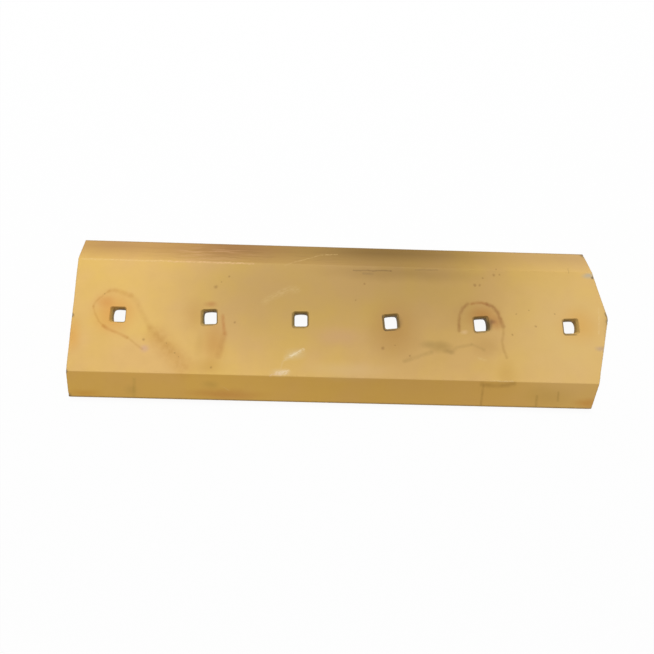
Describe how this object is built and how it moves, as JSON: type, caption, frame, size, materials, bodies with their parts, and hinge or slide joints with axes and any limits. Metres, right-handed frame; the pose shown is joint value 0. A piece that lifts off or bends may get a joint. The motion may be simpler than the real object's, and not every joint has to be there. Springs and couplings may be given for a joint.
{
  "type": "dozer cutting edge",
  "caption": "Straight double-bevel dozer cutting edge, square at one end and cut to a blunt point at the other, with a row of square holes countersunk for plow bolts.",
  "frame": {"origin": "on the wide front face, on the line of the bolt holes, midway between the two end holes", "axes": "+X along the bar from the square end to the pointed end, +Y across the bar, +Z out of the rear seat face, which the bevels lead down from"},
  "size_m": [0.9078, 0.272, 0.03],
  "materials": {
    "painted_steel": "satin"
  },
  "bodies": {
    "root": {"cutting_edge": "painted_steel"}
  },
  "joints": []
}
